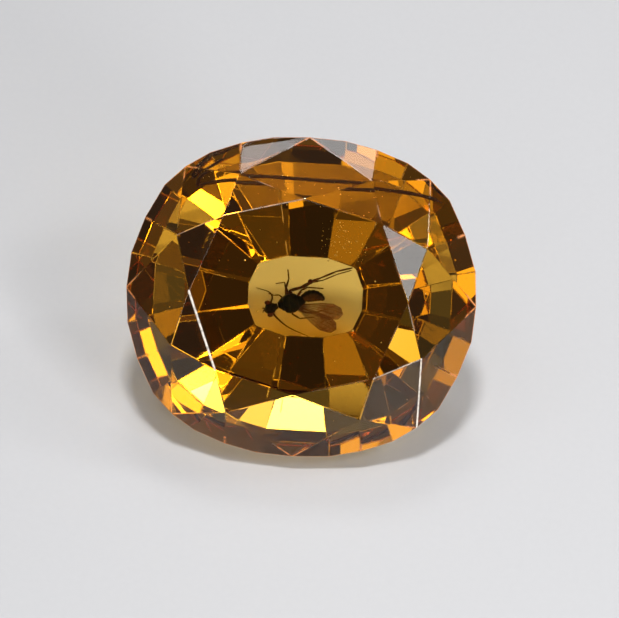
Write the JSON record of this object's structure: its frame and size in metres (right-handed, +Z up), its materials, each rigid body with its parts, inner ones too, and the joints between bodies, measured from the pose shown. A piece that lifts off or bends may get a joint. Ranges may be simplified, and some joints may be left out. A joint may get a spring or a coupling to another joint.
{
  "type": "insect in amber",
  "caption": "Cushion-cut faceted amber gemstone, clear golden, leaning on a pavilion facet, with a small winged insect and a thin plant fibre sealed inside.",
  "frame": {"origin": "centre of the bounding box's base, on the surface that the stone rests on", "axes": "+X along the stone's length, +Z up, with the table facing up and towards -Y, 45 degrees from level"},
  "size_m": [0.0126, 0.0088, 0.0087],
  "materials": {
    "amber": "polished, clear, golden, with faint wear on the facet edges",
    "insect": "dark, slightly glossy chitin with thin brownish wings",
    "plant_fibre": "dry, dull, dark brown"
  },
  "bodies": {
    "root": {"amber_crown": "amber", "amber_pavilion": "amber", "insect": "insect", "plant_fibre": "plant_fibre"}
  },
  "joints": []
}
